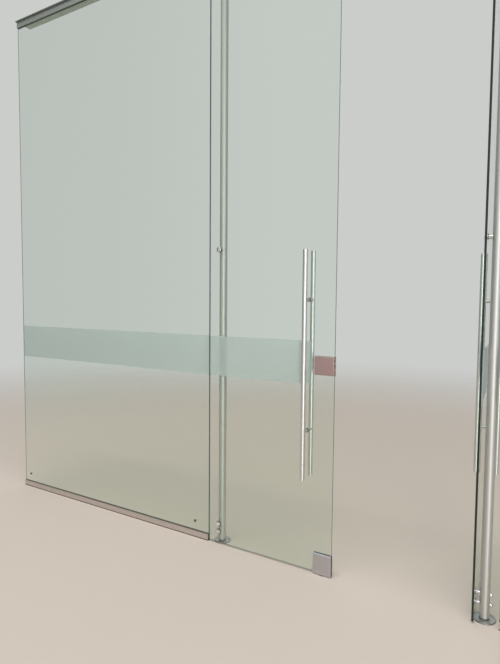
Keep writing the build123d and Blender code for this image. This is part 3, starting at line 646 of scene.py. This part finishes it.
def new_piece(name, shape, finish, body, node, matrix=None):
    """Turn a bmesh into a piece that replaces a node and rides on a body."""
    if matrix:
        shape.transform(matrix)
    bmesh.ops.recalc_face_normals(shape, faces=shape.faces)
    mesh = bpy.data.meshes.new(name)
    shape.to_mesh(mesh)
    shape.free()
    mesh.materials.append(finish)
    piece = bpy.data.objects.new(name, mesh)
    bpy.context.scene.collection.objects.link(piece)
    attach(piece, body)
    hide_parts(node)
    return piece


print("the right half mirrors the left one at X =", axis_span / 2)


# %% Shape of a film
film_gap = 0.00008
film_corner = 0.004
corner_steps = 6


def rounded_sheet(x0, x1, y0, y1, z0, z1, corner):
    """Thin upright sheet with rounded corners."""
    outline = []
    for cx, cz, start in ((x1, z1, 0), (x0, z1, 90), (x0, z0, 180), (x1, z0, 270)):
        inward_x = -corner if cx == x1 else corner
        inward_z = -corner if cz == z1 else corner
        for i in range(corner_steps + 1):
            angle = math.radians(start + 90 * i / corner_steps)
            outline.append((cx + inward_x + corner * math.cos(angle),
                            cz + inward_z + corner * math.sin(angle)))
    shape = bmesh.new()
    rings = [[shape.verts.new((x, y, z)) for x, z in outline] for y in (y0, y1)]
    shape.faces.new(rings[0])
    shape.faces.new(list(reversed(rings[1])))
    count = len(outline)
    for i in range(count):
        j = (i + 1) % count
        shape.faces.new((rings[0][i], rings[1][i], rings[1][j], rings[0][j]))
    return shape


# %% Frosted vinyl
thin_milk = "#DCE1E2"
thick_milk = "#E6EAEB"
film_roughness = {"To_Min": 0.55, "To_Max": 0.75}
film_grain_scale = (900, 900, 900)  # grains about 1 mm across
film_cloud_scale = (3, 3, 9)  # clouds about 300 mm wide and 110 mm tall


def frosted_vinyl(name):
    """Milky film: rough transmission with a little white scatter."""
    finish, tree, shader = new_finish(name, Transmission_Weight=0.5, IOR=1.1)
    grain = add_node(tree, "ShaderNodeTexNoise", {"Vector": scaled_place(tree, film_grain_scale)},
                     Scale=1.0, Detail=2.0)
    cloud = add_node(tree, "ShaderNodeTexNoise", {"Vector": scaled_place(tree, film_cloud_scale)},
                     Scale=1.0, Detail=4.0)
    both = add_node(tree, "ShaderNodeMath", {0: grain.outputs["Fac"], 1: cloud.outputs["Fac"]},
                    operation="ADD")
    colour = add_node(tree, "ShaderNodeMixRGB", {"Fac": both.outputs[0]},
                      Color1=hex_colour(thin_milk), Color2=hex_colour(thick_milk))
    rough = add_node(tree, "ShaderNodeMapRange", {"Value": both.outputs[0]}, **two_noises,
                     **film_roughness)
    tree.links.new(colour.outputs[0], shader.inputs["Base Color"])
    tree.links.new(rough.outputs[0], shader.inputs["Roughness"])
    return finish


# %% Film pieces
# Self-adhesive vinyl with a frosted skin: it blurs what is behind it and adds a little white.
film = frosted_vinyl("frosted_vinyl_film")
low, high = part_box("left_sidelight_band")
leaf_low, leaf_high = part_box("left_leaf_band")
sidelight_span = (low.x, high.x)
leaf_span = (leaf_low.x, leaf_high.x)
for name, span, body, matrix in (("left_sidelight", sidelight_span, "frame", None),
                                 ("right_sidelight", sidelight_span, "frame", mirrored),
                                 ("left_leaf", leaf_span, "left_leaf", None),
                                 ("right_leaf", leaf_span, "right_leaf", to_right_leaf)):
    sheet = rounded_sheet(*span, low.y + film_gap, high.y, low.z, high.z, film_corner)
    new_piece(name + "_film", sheet, film, body, name + "_band", matrix)
print("film from", round(low.z, 3), "to", round(high.z, 3), "m above the floor")

# %% [markdown]
# Turned masters
#
# Bolts and screws come off a lathe, so each is drawn as a lathe would cut it: an outline of
# radius and height, turned about its axis. The hexagon socket is pressed in afterwards. Here its
# rings of points are pushed out between the flats, so the same turning function draws it. One
# master of each kind is enough, because Geometry Nodes will set out the copies.

# %% Turned masters
turning_steps = 24


def turned(outline):
    """Turn an outline of (radius, height, hexagonal) in millimetres about Z, with closed ends."""
    shape = bmesh.new()
    rings = []
    for radius, height, hexagonal in outline[1:-1]:
        ring = []
        for i in range(turning_steps):
            angle = math.tau * i / turning_steps
            from_flat = (angle + math.pi / 6) % (math.pi / 3) - math.pi / 6
            reach = radius / math.cos(from_flat) if hexagonal else radius
            ring.append(shape.verts.new((reach * math.cos(angle) / 1000,
                                         reach * math.sin(angle) / 1000, height / 1000)))
        rings.append(ring)
    ends = [shape.verts.new((0, 0, outline[k][1] / 1000)) for k in (0, -1)]
    for i in range(turning_steps):
        j = (i + 1) % turning_steps
        shape.faces.new((ends[0], rings[0][j], rings[0][i]))
        shape.faces.new((ends[1], rings[-1][i], rings[-1][j]))
        for near, far in zip(rings, rings[1:]):
            shape.faces.new((near[i], near[j], far[j], far[i]))
    bmesh.ops.recalc_face_normals(shape, faces=shape.faces)
    return shape


def master_object(name, shape, tilt=0.0):
    """Tilt a master about X and park it in the scene for Geometry Nodes to copy."""
    shape.transform(Matrix.Rotation(tilt, 4, "X"))
    mesh = bpy.data.meshes.new(name)
    shape.to_mesh(mesh)
    shape.free()
    master = bpy.data.objects.new(name, mesh)
    bpy.context.scene.collection.objects.link(master)
    return master


# %% Masters of the bolt and the screws
# Each row is a radius and a height in millimetres, and whether the ring has six flats. The outlines
# run from the bottom of the socket over the head and down the shank to its tip.
bolt_outline = [
    (0, -3, False), (2.6, -3, True), (2.6, -0.4, True), (2.95, -0.05, True), (5, 0, False),
    (8, -0.15, False), (11, -0.45, False), (12.6, -0.75, False), (13.9, -1.25, False),
    (14.7, -2.0, False), (15, -2.9, False), (15, -4.7, False), (14.7, -5, False), (5, -5, False),
    (5, -84.5, False), (4.4, -85.2, False), (0, -85.2, False)]
screw_outline = [
    (0, -1.2, False), (1.25, -1.2, True), (1.25, -0.15, True), (1.4, 0, True), (4.2, 0, False),
    (4.5, -0.2, False), (2.2, -2.4, False), (2.2, -3.5, False), (2.5, -3.5, False),
    (2.5, -23, False), (1.5, -24, False), (0, -24, False)]
screw_tip = -24
short_tip = -9
tip_squeeze = 0.04
short_outline = [
    (radius, height, flats) if height > short_tip
    else (radius, short_tip + tip_squeeze * (height - screw_tip), flats)
    for radius, height, flats in screw_outline]
glass_bolt = master_object("glass_bolt", turned(bolt_outline), tilt=math.pi / 2)
long_screw = master_object("long_screw", turned(screw_outline))
short_screw = master_object("short_screw", turned(short_outline))
print("masters of", len(glass_bolt.data.polygons), "and", len(long_screw.data.polygons), "faces")

# %% [markdown]
# Setting out the bolts and screws
#
# Nobody lines up the sockets of a row of bolts, so each one is turned by a random angle with a
# fixed seed. One small tree does the common part: copy a master to a set of points, turn each
# copy, make the copies real and give them their finish. Three short functions lay the points: a
# pair at each end of the tube with one in the middle, a ring round a flange, and a row along a
# channel.

# %% A tree that sets out copies
def setting_out(name, sizes, lay_points, spin):
    """Geometry Nodes tree: a master on each point, turned at random about one axis."""
    tree = bpy.data.node_groups.new(name, "GeometryNodeTree")
    tree.interface.new_socket("Geometry", in_out="OUTPUT", socket_type="NodeSocketGeometry")
    for label, kind in [("Master", "Object"), ("Finish", "Material"), ("Seed", "Int"), *sizes]:
        tree.interface.new_socket(label, in_out="INPUT", socket_type="NodeSocket" + kind)
    given = add_node(tree, "NodeGroupInput").outputs
    master = add_node(tree, "GeometryNodeObjectInfo", {"Object": given["Master"]})
    chance = add_node(tree, "FunctionNodeRandomValue", {"Seed": given["Seed"]}, data_type="FLOAT")
    turn = add_node(tree, "ShaderNodeMath", {0: chance.outputs[1]}, operation="MULTIPLY")
    turn.inputs[1].default_value = math.tau
    about = add_node(tree, "ShaderNodeCombineXYZ", {spin: turn.outputs[0]})
    copies = add_node(tree, "GeometryNodeInstanceOnPoints",
                      {"Points": lay_points(tree, given), "Instance": master.outputs["Geometry"],
                       "Rotation": about.outputs[0]})
    real = add_node(tree, "GeometryNodeRealizeInstances", {"Geometry": copies.outputs[0]})
    dressed = add_node(tree, "GeometryNodeSetMaterial",
                       {"Geometry": real.outputs[0], "Material": given["Finish"]})
    add_node(tree, "NodeGroupOutput", {"Geometry": dressed.outputs[0]})
    return tree


# %% Points for the copies
def along_tube(tree, given):
    """A pair of points near the floor, the same near the head and one midway."""
    low = add_node(tree, "ShaderNodeCombineXYZ", {"Z": given["Low"]})
    step = add_node(tree, "ShaderNodeCombineXYZ", {"Z": given["Pitch"]})
    pair = add_node(tree, "GeometryNodeMeshLine", {"Start Location": low.outputs[0],
                                                   "Offset": step.outputs[0]}, Count=2)
    top = add_node(tree, "ShaderNodeCombineXYZ", {"Z": given["Head"]})
    upper = add_node(tree, "GeometryNodeTransform", {"Geometry": pair.outputs[0],
                                                     "Translation": top.outputs[0]},
                     Scale=(1, 1, -1))
    half = add_node(tree, "ShaderNodeVectorMath", {0: top.outputs[0]}, operation="SCALE", Scale=0.5)
    middle = add_node(tree, "GeometryNodeMeshLine", {"Start Location": half.outputs[0]}, Count=1)
    points = add_node(tree, "GeometryNodeJoinGeometry")
    for source in (pair, upper, middle):
        tree.links.new(source.outputs[0], points.inputs[0])
    return points.outputs[0]


def round_flange(tree, given):
    """A ring of points at the height of the dish."""
    ring = add_node(tree, "GeometryNodeMeshCircle", {"Vertices": given["Count"],
                                                     "Radius": given["Radius"]})
    lift = add_node(tree, "ShaderNodeCombineXYZ", {"Z": given["Height"]})
    raised = add_node(tree, "GeometryNodeTransform", {"Geometry": ring.outputs[0],
                                                      "Translation": lift.outputs[0]})
    return raised.outputs[0]


def along_channel(tree, given):
    """A straight row of points."""
    row = add_node(tree, "GeometryNodeMeshLine", {"Start Location": given["Start"],
                                                  "Offset": given["Step"], "Count": given["Count"]})
    return row.outputs[0]


# %% Three trees
tube_tree = setting_out("bolts_along_tube",
                        [("Low", "Float"), ("Pitch", "Float"), ("Head", "Float")],
                        along_tube, "Y")
flange_tree = setting_out("screws_round_flange",
                          [("Count", "Int"), ("Radius", "Float"), ("Height", "Float")],
                          round_flange, "Z")
channel_tree = setting_out("screws_along_channel",
                           [("Start", "Vector"), ("Step", "Vector"), ("Count", "Int")],
                           along_channel, "Z")
print("trees:", tube_tree.name, flange_tree.name, channel_tree.name)

# %% [markdown]
# From a tree to a piece
#
# A modifier's inputs are set by the identifiers of their sockets, because two sockets may share a
# name. The evaluated result becomes a plain mesh and the holder with its modifier goes. The head
# end is the floor end seen in a mirror, and the right half is the left half seen in another.

# %% From a tree to a shape
def set_out(tree, **given):
    """Run a tree with its named inputs and return the result as a bmesh."""
    holder = bpy.data.objects.new("holder", bpy.data.meshes.new("holder"))
    bpy.context.scene.collection.objects.link(holder)
    modifier = holder.modifiers.new("set_out", "NODES")
    modifier.node_group = tree
    for item in tree.interface.items_tree:
        if item.in_out == "INPUT" and item.name in given:
            modifier[item.identifier] = given[item.name]
    depsgraph = bpy.context.evaluated_depsgraph_get()
    mesh = bpy.data.meshes.new_from_object(holder.evaluated_get(depsgraph), depsgraph=depsgraph)
    bpy.data.objects.remove(holder)
    shape = bmesh.new()
    shape.from_mesh(mesh)
    bpy.data.meshes.remove(mesh)
    return shape


def join_shapes(placed):
    """Join several bmeshes, each moved by its own matrix."""
    whole = bmesh.new()
    for shape, matrix in placed:
        mesh = bpy.data.meshes.new("part")
        shape.transform(matrix)
        shape.to_mesh(mesh)
        shape.free()
        whole.from_mesh(mesh)
        bpy.data.meshes.remove(mesh)
    return whole


head_height = 3.456
upside_down = Matrix.Translation((0, 0, head_height)) @ Matrix.Scale(-1, 4, (0, 0, 1))
print("the head end mirrors the floor end at Z =", head_height / 2)

# %% Bolts of the glass fixings
lowest_bolt = 0.071
bolt_pitch = 0.047
bolt_face = Matrix.Translation((0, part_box("left_fixing_bolts")[0].y, 0))
for side, seed, matrix in (("left", 7, Matrix()), ("right", 8, to_right_leaf)):
    bolts = set_out(tube_tree, Master=glass_bolt, Finish=polished_steel, Seed=seed, Low=lowest_bolt,
                    Pitch=bolt_pitch, Head=head_height)
    bolts = join_shapes([(bolts, matrix @ bolt_face)])
    smooth(new_piece(side + "_glass_bolts", bolts, polished_steel, side + "_leaf",
                     side + "_fixing_bolts"))
print("bolts on two leaves")

# %% Screws of the flanges
floor_ring_radius = 0.039
head_ring_radius = 0.033
dish_height = 0.0035
eighth_turn = Matrix.Rotation(math.radians(45), 4, "Z")
quarter_turn = eighth_turn @ eighth_turn
flange_screws = []
for seed, end, master, radius in ((11, eighth_turn, long_screw, floor_ring_radius),
                                  (13, quarter_turn @ upside_down, short_screw, head_ring_radius)):
    for far_side in (Matrix(), mirrored):
        ring = set_out(flange_tree, Master=master, Finish=screw_steel, Seed=seed, Count=4,
                       Radius=radius, Height=dish_height)
        flange_screws.append((ring, far_side @ end))
print(len(flange_screws), "rings of screws")
smooth(new_piece("flange_socket_screws", join_shapes(flange_screws), screw_steel, "frame",
                 "flange_screws"))

# %% Screws of the channels
first_screw = (-1.442, -0.045, 0.0027)
screw_step = (0.5, 0, 0)
channel_screws = []
for end, master in ((Matrix(), long_screw), (upside_down, short_screw)):
    for far_side in (Matrix(), mirrored):
        row = set_out(channel_tree, Master=master, Finish=screw_steel, Seed=23, Start=first_screw,
                      Step=screw_step, Count=3)
        channel_screws.append((row, far_side @ end))
print(len(channel_screws), "rows of screws")
smooth(new_piece("channel_socket_screws", join_shapes(channel_screws), screw_steel, "frame",
                 "channel_screws"))
for master in (glass_bolt, long_screw, short_screw):
    bpy.data.objects.remove(master)

# %% Finish
low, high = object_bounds()
